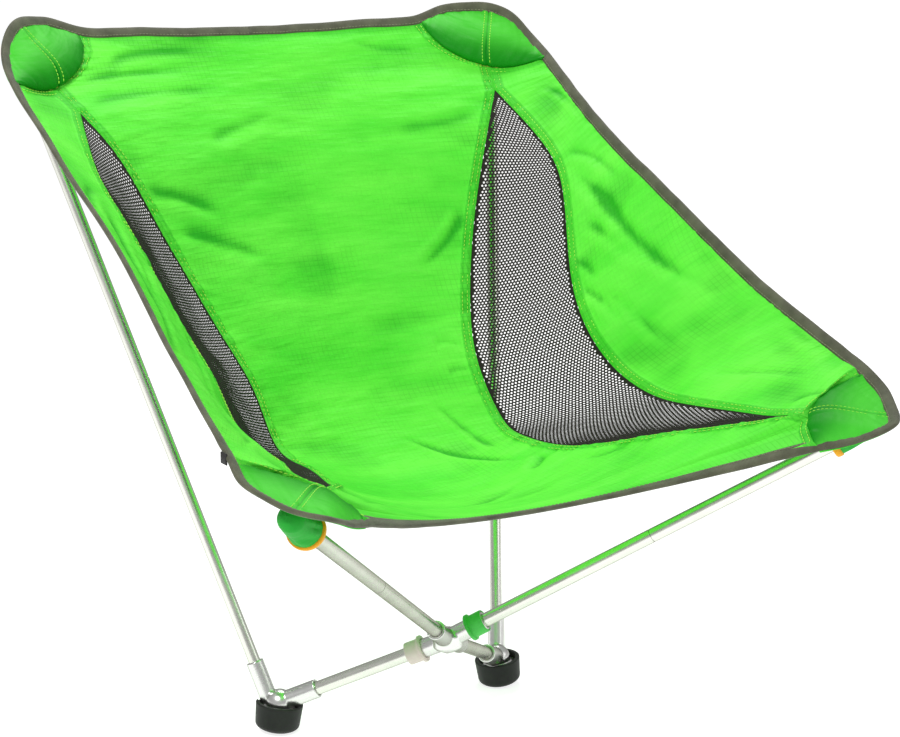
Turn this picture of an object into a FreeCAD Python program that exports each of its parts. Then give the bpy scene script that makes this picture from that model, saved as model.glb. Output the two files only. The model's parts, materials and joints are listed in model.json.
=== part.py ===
"""Ultralight backpacking chair: a sewn sling held open by six shock-corded aluminium poles.

The poles meet in a four-way hub. Two short legs run back and down from the hub to two rubber-booted
feet, a two-section back pole rises from each foot to a rear corner of the sling, and a two-section
front pole rises from the hub to each front corner. Each pole ends in a ball tip held by a pocket.

Frame: millimetres, +Z up, +X to the sitter's left, the sitter faces -Y. The origin is on the ground,
under the middle of the chair's bounding box.
"""
import FreeCAD, Part
import math
import os

Vec = FreeCAD.Vector
SIDES = {"left": -1, "right": 1}

# Skeleton, right-hand side: where the pole centre lines start and end.
HUB = Vec(0, -52, 96)
FOOT = Vec(116, 50, 26)
BACK_ROOT = Vec(121, 59, 25)
REAR_TIP = Vec(254, 287, 597)
FRONT_TIP = Vec(270, -288, 307)

# Poles: outer radius of the back poles and of the stouter front poles and legs.
BACK_POLE_R = 5.5
FRONT_POLE_R = 6.2
POLE_WALL = 0.8
SOCKET_CLEARANCE = 0.05
SOCKET_WALL = 2.4
SOCKET_DEPTH = 27.0
SOCKET_FLOOR = 12.0
FERRULE_LENGTH = 60.0
FERRULE_WALL = 0.9
JOINT_GAP = 0.8
TIP_BALL_R = 8.0
TIP_STEM_LENGTH = 18.0
CORD_R = 1.5
KNOT_R = 2.8

# Hub casting and the sleeves pushed over two of its sockets.
HUB_BOSS_R = 14.0
HUB_BOSS_HEIGHT = 17.0
HUB_KEEL_HEIGHT = 5.0
COLLAR_LENGTH = 16.0
COLLAR_WALL = 1.6
COLLAR_FLANGE = 2.0
COLLAR_FLANGE_LENGTH = 3.0

# Foot casting and rubber boot, both about an axis that splays outwards.
BOOT_SPLAY_DEG = 8.0
BOOT_R = 21.6
BOOT_HEEL_R = 20.2
BOOT_HEIGHT = 27.0
BOOT_DOME = 8.0
BOOT_WALL = 4.2
BOOT_FLOOR = 6.5
BOOT_NOTCH_GAP = 2.0
BOOT_DOME_STEPS = 8
TREAD_DEPTH = 1.0
FOOT_BOSS_R = 12.5

# Sling: cloth and edge tape.
CLOTH = 1.2
TAPE_WIDTH = 9.0
TAPE_INSIDE = -0.8
TAPE_OUTSIDE = 2.0
SLING_FOCUS = Vec(0, -3, 593)
SLING_MIDDLE = Vec(0, 17, 393)
CENTRE_COLUMNS = 8
WING_BULGE = -0.01
MESH_BULGE = 0.05
DOME_BULGE = 12.0
DOME_ROWS = 4

# Stations from the top of the mesh panel to its front end, right-hand side:
# middle of the sling, seam of the centre panel, seam of the wing, outer edge of the tape.
STATIONS = [
    (Vec(0, 272, 546), Vec(219, 223, 549), Vec(219, 223, 549), Vec(284, 207, 572)),
    (Vec(0, 240, 504), Vec(193, 196, 508), Vec(231, 156, 504), Vec(281, 157, 543)),
    (Vec(0, 211, 451), Vec(169, 175, 452), Vec(226, 113, 469), Vec(280, 107, 515)),
    (Vec(0, 184, 398), Vec(148, 151, 400), Vec(213, 83, 426), Vec(279, 52, 489)),
    (Vec(0, 157, 349), Vec(130, 123, 352), Vec(200, 53, 381), Vec(280, -3, 463)),
    (Vec(0, 121, 298), Vec(117, 87, 307), Vec(191, 13, 344), Vec(283, -58, 434)),
    (Vec(0, 72, 255), Vec(116, 45, 265), Vec(193, -30, 315), Vec(287, -108, 408)),
    (Vec(0, 12, 231), Vec(111, -3, 257), Vec(196, -77, 302), Vec(290, -148, 390)),
    (Vec(0, -53, 226), Vec(124, -66, 260), Vec(198, -127, 302), Vec(294, -183, 375)),
    (Vec(0, -113, 232), Vec(155, -137, 281), Vec(213, -187, 305), Vec(297, -215, 362)),
    (Vec(0, -153, 240), Vec(190, -193, 297), Vec(217, -225, 309), Vec(299, -231, 355)),
    (Vec(0, -169, 243), Vec(223, -252, 315), Vec(223, -252, 315), Vec(300, -243, 350)),
]

# Rear corner: seam of the dome patch from the top tape down and out to the side tape, with the
# middle of the sling beside its first half, then the tape's outer edge round the corner.
REAR_SEAM = [Vec(184, 306, 610), Vec(190, 289, 595), Vec(206, 271, 580), Vec(230, 254, 570),
             Vec(249, 242, 569), Vec(264, 231, 573), Vec(275, 222, 578)]
REAR_MIDDLE = [Vec(0, 319, 604), Vec(0, 309, 593), Vec(0, 300, 581), Vec(0, 290, 568)]
REAR_CORNER = [Vec(184, 314, 620), Vec(210, 316, 628), Vec(231, 304, 631), Vec(251, 286, 631),
               Vec(267, 270, 623), Vec(278, 256, 607), Vec(284, 227, 585)]
REAR_EDGE_MIDDLE = Vec(0, 327, 613)

# Front corner, in the same way, from the front tape up and out to the side tape.
FRONT_SEAM = [Vec(212, -287, 300), Vec(217, -278, 303), Vec(222, -269, 307), Vec(231, -260, 312),
              Vec(250, -247, 319), Vec(272, -243, 330), Vec(291, -251, 340)]
FRONT_MIDDLE = [Vec(0, -183, 247), Vec(0, -180, 246), Vec(0, -177, 245), Vec(0, -173, 244)]
FRONT_CORNER = [Vec(214, -295, 295), Vec(238, -317, 305), Vec(263, -328, 317), Vec(282, -310, 321),
                Vec(294, -290, 328), Vec(302, -269, 336), Vec(301, -253, 345)]
FRONT_EDGE_MIDDLE = Vec(0, -191, 249)

# Pockets under the corners, and the small tab on the left side tape.
POCKET_WALL = 1.0
POCKET_TIP_GAP = 0.7
POCKET_STEPS = 6
POCKET_MOUTH_R = 13.0
POCKET_LENGTH = 34.0
RIM_R = 1.4
TAB_SIZE = Vec(1.4, 9.0, 11.0)
TAB_DROP = 6.5


# ---------------------------------------------------------------- helpers

def mirrored(point, side):
    return Vec(side * point.x, point.y, point.z)


def unit(vector):
    return vector.normalize() if vector.Length else vector


def along(start, end, distance):
    """The point a distance from start towards end."""
    return start + unit(end - start) * distance


def rod(start, end, radius):
    span = end - start
    return Part.makeCylinder(radius, span.Length, start, span)


def tube(start, end, outer, inner):
    """A tube whose bore runs out of both ends."""
    return rod(start, end, outer).cut(rod(along(start, end, -1), along(end, start, -1), inner))


def lathe(outline, start, axis):
    """Revolve (radius, height) points about an axis through start."""
    points = [Vec(radius, 0, height) for radius, height in outline]
    face = Part.Face(Part.makePolygon(points + points[:1]))
    solid = face.revolve(Vec(0, 0, 0), Vec(0, 0, 1), 360)
    solid.Placement = FreeCAD.Placement(start, FreeCAD.Rotation(Vec(0, 0, 1), axis))
    return solid


def save(name, *solids):
    shape = solids[0] if len(solids) == 1 else Part.makeCompound(list(solids))
    shape.exportStep(os.path.join("parts", name + ".step"))


# ---------------------------------------------------------------- poles

def pole_axis(name, side):
    """Start and end of a pole's centre line."""
    start = {"leg": HUB, "back": BACK_ROOT, "front": HUB}[name]
    end = {"leg": FOOT, "back": REAR_TIP, "front": FRONT_TIP}[name]
    return mirrored(start, side), mirrored(end, side)


def section(start, end, first, last, radius):
    """One tube section between two distances along the line from start."""
    return tube(along(start, end, first), along(start, end, last), radius, radius - POLE_WALL)


def two_section_pole(name, side, radius):
    """Lower and upper section, the ferrule between them, the ball tip and the shock cord."""
    start, end = pole_axis(name, side)
    length = (end - start).Length
    middle = length / 2
    tube_end = length - TIP_BALL_R * 0.7
    lower = section(start, end, SOCKET_FLOOR, middle - JOINT_GAP / 2, radius)
    upper = section(start, end, middle + JOINT_GAP / 2, tube_end, radius)
    ferrule_r = radius - POLE_WALL - SOCKET_CLEARANCE
    ferrule = tube(along(start, end, middle - FERRULE_LENGTH / 2), along(start, end, middle + FERRULE_LENGTH / 2),
                   ferrule_r, ferrule_r - FERRULE_WALL)
    stem_start = along(start, end, tube_end - TIP_STEM_LENGTH)
    knot_seat = rod(along(start, end, tube_end - TIP_STEM_LENGTH - 1), along(start, end, tube_end), KNOT_R + 0.2)
    tip = rod(stem_start, end, ferrule_r).fuse(Part.makeSphere(TIP_BALL_R, end)).cut(upper).cut(knot_seat)
    cord = shock_cord(along(start, end, SOCKET_FLOOR + KNOT_R), along(start, end, tube_end - KNOT_R - 1))
    return lower, ferrule, upper, tip, cord


def shock_cord(start, end):
    """A stretched elastic cord with a stopper knot at each end."""
    return rod(start, end, CORD_R).fuse(Part.makeSphere(KNOT_R, start)).fuse(Part.makeSphere(KNOT_R, end))


def leg_pole(side):
    start, end = pole_axis("leg", side)
    length = (end - start).Length
    pole = section(start, end, SOCKET_FLOOR, length - SOCKET_FLOOR, FRONT_POLE_R)
    cord = shock_cord(along(start, end, SOCKET_FLOOR + KNOT_R), along(end, start, SOCKET_FLOOR + KNOT_R))
    return pole, cord


# ---------------------------------------------------------------- hub and feet

def socket(centre, target, radius):
    """A socket arm and the blind bore that takes a pole of the given radius."""
    mouth = SOCKET_FLOOR + SOCKET_DEPTH
    arm = rod(centre, along(centre, target, mouth), radius + SOCKET_WALL)
    bore = rod(along(centre, target, SOCKET_FLOOR), along(centre, target, mouth + 1), radius + SOCKET_CLEARANCE)
    return arm, bore


def hub_body():
    """Four socket arms on a round boss with a pointed keel underneath."""
    top = HUB_BOSS_HEIGHT / 2
    boss = lathe([(0, top), (HUB_BOSS_R - 3, top), (HUB_BOSS_R, top - 3), (HUB_BOSS_R, 3 - top),
                  (HUB_BOSS_R - 3, -top), (0, -top - HUB_KEEL_HEIGHT)], HUB, Vec(0, 0, 1))
    bores = []
    for side in SIDES.values():
        for target in (FOOT, FRONT_TIP):
            arm, bore = socket(HUB, mirrored(target, side), FRONT_POLE_R)
            boss = boss.fuse(arm)
            bores.append(bore)
    return boss.cut(bores)


def collar(target):
    """A sleeve with a flange, pushed over the mouth of one hub socket."""
    inner = FRONT_POLE_R + SOCKET_WALL + SOCKET_CLEARANCE
    outer = inner + COLLAR_WALL
    mouth = SOCKET_FLOOR + SOCKET_DEPTH
    back = mouth - COLLAR_LENGTH
    sleeve = tube(along(HUB, target, back), along(HUB, target, mouth), outer, inner)
    flange = tube(along(HUB, target, back), along(HUB, target, back + COLLAR_FLANGE_LENGTH),
                  outer + COLLAR_FLANGE, inner)
    return sleeve.fuse(flange)


def boot_axis(side):
    lean = math.radians(BOOT_SPLAY_DEG)
    return Vec(-side * math.sin(lean), 0, math.cos(lean))


def boot_base(side):
    """Where the boot's axis, which passes through the foot's centre, leaves the dome below ground."""
    axis = boot_axis(side)
    return mirrored(FOOT, side) - axis * ((FOOT.z + TREAD_DEPTH) / axis.z)


def boot_outline():
    """Half the boot's outline: a domed bottom, then a wall that widens to the top."""
    angles = [math.pi / 2 * i / BOOT_DOME_STEPS for i in range(BOOT_DOME_STEPS + 1)]
    dome = [(BOOT_HEEL_R * math.sin(a), BOOT_DOME * (1 - math.cos(a))) for a in angles]
    return dome + [(BOOT_R, BOOT_HEIGHT), (0, BOOT_HEIGHT)]


def foot_pair(side):
    """The foot casting and the rubber boot that covers its lower half."""
    centre = mirrored(FOOT, side)
    axis = boot_axis(side)
    base = boot_base(side)
    plug_r = BOOT_R - BOOT_WALL
    plug = lathe([(0, BOOT_FLOOR), (plug_r - 2, BOOT_FLOOR), (plug_r, BOOT_FLOOR + 2), (plug_r, BOOT_HEIGHT - 6),
                  (plug_r - 4, BOOT_HEIGHT - 3), (0, BOOT_HEIGHT - 3)], base, axis)
    casting = plug.fuse(Part.makeSphere(FOOT_BOSS_R, centre))
    shell = lathe(boot_outline(), base, axis)
    bores = []
    for root, target, radius in ((centre, HUB, FRONT_POLE_R),
                                 (mirrored(BACK_ROOT, side), mirrored(REAR_TIP, side), BACK_POLE_R)):
        arm, bore = socket(root, target, radius)
        casting = casting.fuse(arm)
        bores.append(bore)
        notch = rod(root, along(root, target, 2 * BOOT_R), radius + SOCKET_WALL + BOOT_NOTCH_GAP)
        shell = shell.cut(notch)
    cavity = lathe([(0, BOOT_FLOOR), (plug_r - 2, BOOT_FLOOR), (plug_r, BOOT_FLOOR + 2), (plug_r, BOOT_HEIGHT + 1),
                    (0, BOOT_HEIGHT + 1)], base, axis)
    ground = Part.makeBox(4 * BOOT_R, 4 * BOOT_R, BOOT_R, centre - Vec(2 * BOOT_R, 2 * BOOT_R, FOOT.z + BOOT_R))
    boot = shell.cut(cavity).cut(ground)
    return casting.cut(bores), boot


# ---------------------------------------------------------------- sling

def outward(point):
    """Direction from the sitter's side of the cloth to its underside."""
    return unit(point - SLING_FOCUS)


def towards_rim(point):
    """Direction in the cloth from the middle of the sling to its edge."""
    away = outward(point)
    spread = point - SLING_MIDDLE
    return unit(spread - away * spread.dot(away))


def tape_inner(point):
    return point - towards_rim(point) * TAPE_WIDTH


def bow(start, end, columns, bulge):
    """Points from start to end, pushed to the underside by up to the bulge times their distance."""
    height = bulge * (end - start).Length
    points = []
    for i in range(columns + 1):
        t = i / columns
        flat = start + (end - start) * t
        points.append(flat + outward(flat) * (height * 4 * t * (1 - t)))
    return points


def sag_row(middle, edge):
    """A row across the sling that dips from both edges to the middle."""
    points = []
    for i in range(CENTRE_COLUMNS + 1):
        s = 2 * i / CENTRE_COLUMNS - 1
        rise = s * s
        points.append(Vec(edge.x * s, middle.y + (edge.y - middle.y) * rise, middle.z + (edge.z - middle.z) * rise))
    return points


def sheet(rows, inside=0.0, outside=CLOTH):
    """A closed solid between two copies of a grid of points, pushed out from the cloth's face."""
    faces = []

    def add(*corners):
        unique = [p for i, p in enumerate(corners) if (p - corners[i - 1]).Length > 0.01]
        if len(unique) > 2:
            faces.append(Part.Face(Part.makePolygon(unique + unique[:1])))

    front = [[p + outward(p) * inside for p in row] for row in rows]
    back = [[p + outward(p) * outside for p in row] for row in rows]
    for j in range(len(rows) - 1):
        for i in range(len(rows[0]) - 1):
            for grid, turn in ((front, 1), (back, -1)):
                for corners in (((j, i), (j, i + 1), (j + 1, i + 1)), ((j, i), (j + 1, i + 1), (j + 1, i))):
                    add(*[grid[r][c] for r, c in corners[::turn]])
    last_row, last_column = len(rows) - 1, len(rows[0]) - 1
    for i in range(last_column):
        for j in (0, last_row):
            add(front[j][i], front[j][i + 1], back[j][i + 1])
            add(front[j][i], back[j][i + 1], back[j][i])
    for j in range(last_row):
        for i in (0, last_column):
            add(front[j][i], front[j + 1][i], back[j + 1][i])
            add(front[j][i], back[j + 1][i], back[j][i])
    solid = Part.makeSolid(Part.makeShell(faces))
    if solid.Volume < 0:
        solid.reverse()
    return solid


def centre_panel():
    sides = REAR_SEAM[:4] + [station[1] for station in STATIONS] + FRONT_SEAM[3::-1]
    middles = REAR_MIDDLE + [station[0] for station in STATIONS] + FRONT_MIDDLE[::-1]
    return sheet([sag_row(middle, edge) for middle, edge in zip(middles, sides)])


def mesh_panel(side):
    rows = [bow(station[1], station[2], 3, MESH_BULGE) for station in STATIONS]
    return sheet([[mirrored(p, side) for p in row] for row in rows])


def wing_panel(side):
    rows = [bow(station[2], tape_inner(station[3]), 3, WING_BULGE) for station in STATIONS]
    rows = [REAR_SEAM[3:]] + rows + [FRONT_SEAM[3:]]
    return sheet([[mirrored(p, side) for p in row] for row in rows])


def corner_patch(seam, corner, side):
    """A domed half-moon patch between its seam and the tape round the corner."""
    ring = [seam[0]] + [tape_inner(p) for p in corner[1:-1]] + [seam[-1]]
    rows = []
    for j in range(DOME_ROWS + 1):
        t = j / DOME_ROWS
        row = []
        for i, (low, high) in enumerate(zip(seam, ring)):
            flat = low + (high - low) * t
            swell = DOME_BULGE * math.sin(math.pi * t) * math.sin(math.pi * i / (len(seam) - 1))
            row.append(flat - outward(flat) * swell)
        rows.append(row)
    return sheet([[mirrored(p, side) for p in row] for row in rows])


def tape(outer, inner):
    return sheet([outer, inner], TAPE_INSIDE, TAPE_OUTSIDE)


def side_tape(side):
    outer = REAR_CORNER + [station[3] for station in STATIONS] + FRONT_CORNER[::-1]
    rear_inner = [REAR_SEAM[0]] + [tape_inner(p) for p in REAR_CORNER[1:-1]] + [REAR_SEAM[-1]]
    front_inner = [FRONT_SEAM[0]] + [tape_inner(p) for p in FRONT_CORNER[1:-1]] + [FRONT_SEAM[-1]]
    inner = rear_inner + [tape_inner(station[3]) for station in STATIONS] + front_inner[::-1]
    return tape([mirrored(p, side) for p in outer], [mirrored(p, side) for p in inner])


def end_tape(edge_middle, edge_corner, inner_middle, inner_corner):
    return tape(sag_row(edge_middle, edge_corner), sag_row(inner_middle, inner_corner))


def pocket(tip, root):
    """A sewn cup over a pole's ball tip, flaring to its mouth, and the bound rim of that mouth."""
    def cup(radius, mouth_r):
        angles = [math.pi / 2 * i / POCKET_STEPS for i in range(POCKET_STEPS + 1)]
        return [(radius * math.sin(a), radius * math.cos(a)) for a in angles] + [(mouth_r, -POCKET_LENGTH)]

    snug = TIP_BALL_R + POCKET_TIP_GAP
    skin = cup(snug + POCKET_WALL, POCKET_MOUTH_R + POCKET_WALL)
    shell = lathe(cup(snug, POCKET_MOUTH_R) + skin[::-1], tip, tip - root)
    mouth = along(tip, root, POCKET_LENGTH + RIM_R)
    rim = Part.makeTorus(POCKET_MOUTH_R + POCKET_WALL / 2, RIM_R, mouth, tip - root)
    return shell, rim


def edge_tab():
    """A folded tab sewn under the left side tape."""
    edge = mirrored(STATIONS[-1][3], -1)
    size = TAB_SIZE
    return Part.makeBox(size.x, size.y, size.z, edge + Vec(-size.x, -size.y / 2, -size.z - TAB_DROP))


# ---------------------------------------------------------------- assembly

def build():
    os.makedirs("parts", exist_ok=True)
    save("hub_body", hub_body())
    save("collar_leg_left", collar(mirrored(FOOT, -1)))
    save("collar_front_right", collar(FRONT_TIP))
    save("sling_centre_panel", centre_panel())
    save("edge_tape_top", end_tape(REAR_EDGE_MIDDLE, REAR_CORNER[0], REAR_MIDDLE[0], REAR_SEAM[0]))
    save("edge_tape_front", end_tape(FRONT_EDGE_MIDDLE, FRONT_CORNER[0], FRONT_MIDDLE[0], FRONT_SEAM[0]))
    save("edge_tab", edge_tab())
    for name, side in SIDES.items():
        pole, cord = leg_pole(side)
        save("leg_pole_" + name, pole)
        save("shock_cord_leg_" + name, cord)
        casting, boot = foot_pair(side)
        save("foot_joint_" + name, casting)
        save("foot_boot_" + name, boot)
        for pole_name, radius in (("back", BACK_POLE_R), ("front", FRONT_POLE_R)):
            lower, ferrule, upper, tip, cord = two_section_pole(pole_name, side, radius)
            save(pole_name + "_pole_lower_" + name, lower)
            save(pole_name + "_ferrule_" + name, ferrule)
            save(pole_name + "_pole_upper_" + name, upper)
            save(pole_name + "_tip_" + name, tip)
            save("shock_cord_" + pole_name + "_" + name, cord)
        save("mesh_panel_" + name, mesh_panel(side))
        save("wing_panel_" + name, wing_panel(side))
        save("edge_tape_" + name, side_tape(side))
        for corner, seam, outline, tip, root in (("rear", REAR_SEAM, REAR_CORNER, REAR_TIP, BACK_ROOT),
                                                 ("front", FRONT_SEAM, FRONT_CORNER, FRONT_TIP, HUB)):
            save("corner_patch_" + corner + "_" + name, corner_patch(seam, outline, side))
            cup, rim = pocket(mirrored(tip, side), mirrored(root, side))
            save("pole_pocket_" + corner + "_" + name, cup)
            save("pocket_rim_" + corner + "_" + name, rim)


build()
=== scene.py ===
import json
import math

import bpy
import numpy as np
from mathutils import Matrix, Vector, noise

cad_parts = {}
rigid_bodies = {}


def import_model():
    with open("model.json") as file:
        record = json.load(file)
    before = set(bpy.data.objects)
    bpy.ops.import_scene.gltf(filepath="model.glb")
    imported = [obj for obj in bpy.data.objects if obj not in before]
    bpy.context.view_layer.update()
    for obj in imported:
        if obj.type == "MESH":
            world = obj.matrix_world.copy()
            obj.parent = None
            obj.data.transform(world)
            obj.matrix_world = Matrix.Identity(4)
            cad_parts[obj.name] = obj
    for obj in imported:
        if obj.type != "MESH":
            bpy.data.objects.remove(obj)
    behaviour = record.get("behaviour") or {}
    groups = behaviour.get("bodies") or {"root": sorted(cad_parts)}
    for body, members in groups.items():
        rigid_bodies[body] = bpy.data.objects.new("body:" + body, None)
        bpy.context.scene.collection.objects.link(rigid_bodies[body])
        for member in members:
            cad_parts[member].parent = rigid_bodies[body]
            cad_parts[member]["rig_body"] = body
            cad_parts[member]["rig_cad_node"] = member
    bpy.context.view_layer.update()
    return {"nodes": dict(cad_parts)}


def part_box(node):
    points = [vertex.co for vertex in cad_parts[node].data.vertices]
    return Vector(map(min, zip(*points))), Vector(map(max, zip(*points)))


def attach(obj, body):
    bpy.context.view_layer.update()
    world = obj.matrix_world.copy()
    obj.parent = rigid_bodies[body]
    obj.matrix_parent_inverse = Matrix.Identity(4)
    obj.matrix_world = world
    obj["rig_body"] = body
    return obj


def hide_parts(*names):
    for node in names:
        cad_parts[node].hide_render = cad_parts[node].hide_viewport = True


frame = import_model()

SIDES = {"left": -1, "right": 1}
CORNERS = ("rear", "front")

# Tip and root of each pole on the right, in millimetres like every length not given to Blender.
POLES = {"rear": ((254, 287, 597), (121, 59, 25)), "front": ((270, -288, 307), (0, -52, 96))}

# The sling: a point the cloth faces, its middle, the cloth's thickness, its overlap with the tape,
# bulges away from the sitter as a share of the width, and the domes' height towards the sitter.
SLING_FOCUS = np.array([0, -3, 593.0])
SLING_MIDDLE = np.array([0, 17, 393.0])
CLOTH = 0.8
TAPE_OVERLAP = 3.0
WING_BULGE = -0.01
MESH_BULGE = 0.05
DOME_BULGE = 13.0

# Stations from the top of the mesh panel to its front end: middle of the sling, seam of the
# centre panel, seam of the wing, outer edge of the tape.
STATIONS = [
    [(0, 272, 546), (219, 223, 549), (219, 223, 549), (284, 207, 572)],
    [(0, 240, 504), (193, 196, 508), (231, 156, 504), (281, 157, 543)],
    [(0, 211, 451), (169, 175, 452), (226, 113, 469), (280, 107, 515)],
    [(0, 184, 398), (148, 151, 400), (213, 83, 426), (279, 52, 489)],
    [(0, 157, 349), (130, 123, 352), (200, 53, 381), (280, -3, 463)],
    [(0, 121, 298), (117, 87, 307), (191, 13, 344), (283, -58, 434)],
    [(0, 72, 255), (116, 45, 265), (193, -30, 315), (287, -108, 408)],
    [(0, 12, 231), (111, -3, 257), (196, -77, 302), (290, -148, 390)],
    [(0, -53, 226), (124, -66, 260), (198, -127, 302), (294, -183, 375)],
    [(0, -113, 232), (155, -137, 281), (213, -187, 305), (297, -215, 362)],
    [(0, -153, 240), (190, -193, 297), (217, -225, 309), (299, -231, 355)],
    [(0, -169, 243), (223, -252, 315), (223, -252, 315), (300, -243, 350)],
]
LAST = len(STATIONS) - 1

# Corners: seam of the domed patch from the end tape round to the side tape, the middle of the
# sling beside its first half, and the tape's outer edge round the corner.
REAR_SEAM = [(184, 306, 610), (190, 289, 595), (206, 271, 580), (230, 254, 570),
             (249, 242, 569), (264, 231, 573), (275, 222, 578)]
REAR_MIDDLE = [(0, 319, 604), (0, 309, 593), (0, 300, 581), (0, 290, 568)]
REAR_CORNER = [(184, 314, 620), (210, 316, 628), (231, 304, 631), (251, 286, 631),
               (267, 270, 623), (278, 256, 607), (284, 227, 585)]
REAR_EDGE_MIDDLE = (0, 327, 613)
FRONT_SEAM = [(212, -287, 300), (217, -278, 303), (222, -269, 307), (231, -260, 312),
              (250, -247, 319), (272, -243, 330), (291, -251, 340)]
FRONT_MIDDLE = [(0, -183, 247), (0, -180, 246), (0, -177, 245), (0, -173, 244)]
FRONT_CORNER = [(214, -295, 295), (238, -317, 305), (263, -328, 317), (282, -310, 321),
                (294, -290, 328), (302, -269, 336), (301, -253, 345)]
FRONT_EDGE_MIDDLE = (0, -191, 249)

# Folds in the cloth: start and end as (knot down the panel, share across it), width and depth in mm.
CENTRE_FOLDS = [
    ((6.0, 0.15), (7.75, 0.84), 3.5, 2.4), ((11.4, -0.75), (8.0, 0.70), 4.0, 2.0),
    ((5.5, 0.55), (7.1, 0.84), 3.5, 1.8), ((7.7, 0.86), (8.1, 0.62), 4.5, 3.0),
    ((2.2, 0.93), (3.4, 0.66), 4.0, 2.4), ((1.5, -0.97), (1.95, -0.45), 6.5, 2.6),
    ((2.2, -0.90), (2.8, -0.22), 8.0, 2.6), ((-2.4, -0.84), (-3.4, -0.30), 5.0, 1.8),
    ((-1.2, -0.92), (-1.9, -0.35), 4.5, 1.5), ((-0.2, -0.97), (-0.7, -0.15), 6.0, 1.9),
    ((0.9, -0.44), (0.2, -0.02), 7.0, 1.9), ((4.6, 0.70), (4.6, 0.96), 4.0, 2.0),
    ((5.1, 0.75), (5.0, 0.96), 4.0, 1.4), ((8.8, 0.97), (8.5, 0.74), 4.5, 1.8),
    ((12.0, -0.95), (10.2, 0.55), 5.0, 1.2), ((-2.6, 0.84), (-3.0, 0.45), 5.0, 1.4),
    ((0.5, 0.95), (0.9, 0.45), 6.0, 1.6),
]
WING_FOLDS = [
    ((1.5, 0.22), (2.9, 0.82), 4.0, 1.8), ((1.9, 0.18), (6.1, 0.86), 5.5, 3.2),
    ((3.0, 0.20), (5.0, 0.66), 4.5, 1.9), ((4.1, 0.04), (5.5, 0.30), 4.0, 2.4),
    ((4.5, 0.22), (6.4, 0.42), 4.5, 1.8), ((3.6, 0.03), (4.3, 0.26), 3.5, 1.8),
    ((9.9, 0.22), (12.0, 0.55), 4.0, 1.5), ((7.4, 0.93), (11.0, 0.84), 5.0, 1.9),
    ((7.6, 0.30), (9.6, 0.72), 5.0, 1.4), ((-0.6, 0.95), (3.6, 0.90), 3.0, 1.5),
    ((0.2, 0.60), (1.6, 0.90), 3.5, 1.2),
]

# The knot halfway along a dome seam, a pocket's depth and radius, and how far from a seam the
# columns of points stand within the doubled band.
SEAM_HALF = 3
POCKET_DEPTH = 31.5
POCKET_RADIUS = 9.9
BAND_COLUMNS = np.array([0, 0.7, 1.5, 2.6, 3.7, 5.0, 6.3, 7.4, 8.5, 9.4, 10.2, 11.5, 13.5])

# Rows of stitches from a seam, sizes of a stitch, and the net: between holes, hole's share, thread.
STITCH_ROWS = (2.6, 7.4)
STITCH_PITCH = 4.2
STITCH_LENGTH = 3.1
STITCH_R = 0.42
NET_PITCH = 3.4
NET_HOLE = 0.57
NET_THREAD = 0.4


# ---- curves and surfaces

def spline(points, knots=None):
    """A natural cubic spline through points, read by knot value."""
    p = np.array(points, float)
    u = np.arange(len(p), dtype=float) if knots is None else np.array(knots, float)
    h = np.diff(u)
    system = np.eye(len(p))
    right = np.zeros_like(p)
    for i in range(1, len(p) - 1):
        system[i, i - 1:i + 2] = h[i - 1], 2 * (h[i - 1] + h[i]), h[i]
        right[i] = 6 * ((p[i + 1] - p[i]) / h[i] - (p[i] - p[i - 1]) / h[i - 1])
    bend = np.linalg.solve(system, right)

    def read(value):
        value = np.clip(np.atleast_1d(np.asarray(value, float)), u[0], u[-1])
        i = np.clip(np.searchsorted(u, value, side="right") - 1, 0, len(h) - 1)
        step = h[i][:, None]
        f = (value - u[i])[:, None] / step
        g = 1 - f
        curve = (g ** 3 - g) * bend[i] + (f ** 3 - f) * bend[i + 1]
        return g * p[i] + f * p[i + 1] + curve * step ** 2 / 6

    return read


def lengths(vectors):
    """The length of each vector."""
    return np.linalg.norm(vectors, axis=-1)


def unit(v):
    """The same directions with length 1."""
    v = np.asarray(v, float)
    return v / np.maximum(lengths(v)[..., None], 1e-9)


def outward(p):
    """Direction from the sitter's side of the cloth to its underside."""
    return unit(p - SLING_FOCUS)


def towards_rim(p):
    """Direction in the cloth from the middle of the sling to its edge."""
    away = outward(p)
    spread = p - SLING_MIDDLE
    return unit(spread - away * (spread * away).sum(-1, keepdims=True))


def lerp(a, b, t):
    """The point a share t of the way from a to b."""
    return a + (b - a) * t


def smooth(x):
    """Eases from 0 to 1 while x does, and stays there beyond."""
    x = np.clip(x, 0, 1)
    return x * x * (3 - 2 * x)


def run_lengths(points):
    """Distance along a line of points, from its first."""
    return np.concatenate([[0], np.cumsum(lengths(np.diff(points, axis=0)))])


def read_along(places, run, points):
    """The points of a line at the given distances along it."""
    return np.stack([np.interp(places, run, points[:, k]) for k in range(3)], -1)


def across_runs(grid):
    """Each point's distance along its row."""
    return np.stack([run_lengths(row) for row in grid])


def down_runs(grid, column):
    """Each row's distance down one column, for every point of the row."""
    return np.repeat(run_lengths(grid[:, column])[:, None], grid.shape[1], 1)


SEAM_END = len(REAR_SEAM) - 1
columns = list(zip(*STATIONS))
middle_line = spline(REAR_MIDDLE + list(columns[0]) + FRONT_MIDDLE[::-1])
panel_seam = spline(columns[1])
wing_seam = spline(columns[2])
rear_seam = spline(REAR_SEAM)
front_seam = spline(FRONT_SEAM)
REAR_ROWS = SEAM_HALF + 1
FIRST_V = -REAR_ROWS
LAST_V = LAST + REAR_ROWS


def sag_row(middle, edge, s):
    """A row across the sling that dips from both edges to the middle; s runs from -1 to 1."""
    s = np.asarray(s, float)[:, None]
    row = lerp(np.asarray(middle, float), np.asarray(edge, float), s * s)
    row[:, :1] = np.asarray(edge, float)[..., :1] * s
    return row


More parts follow.
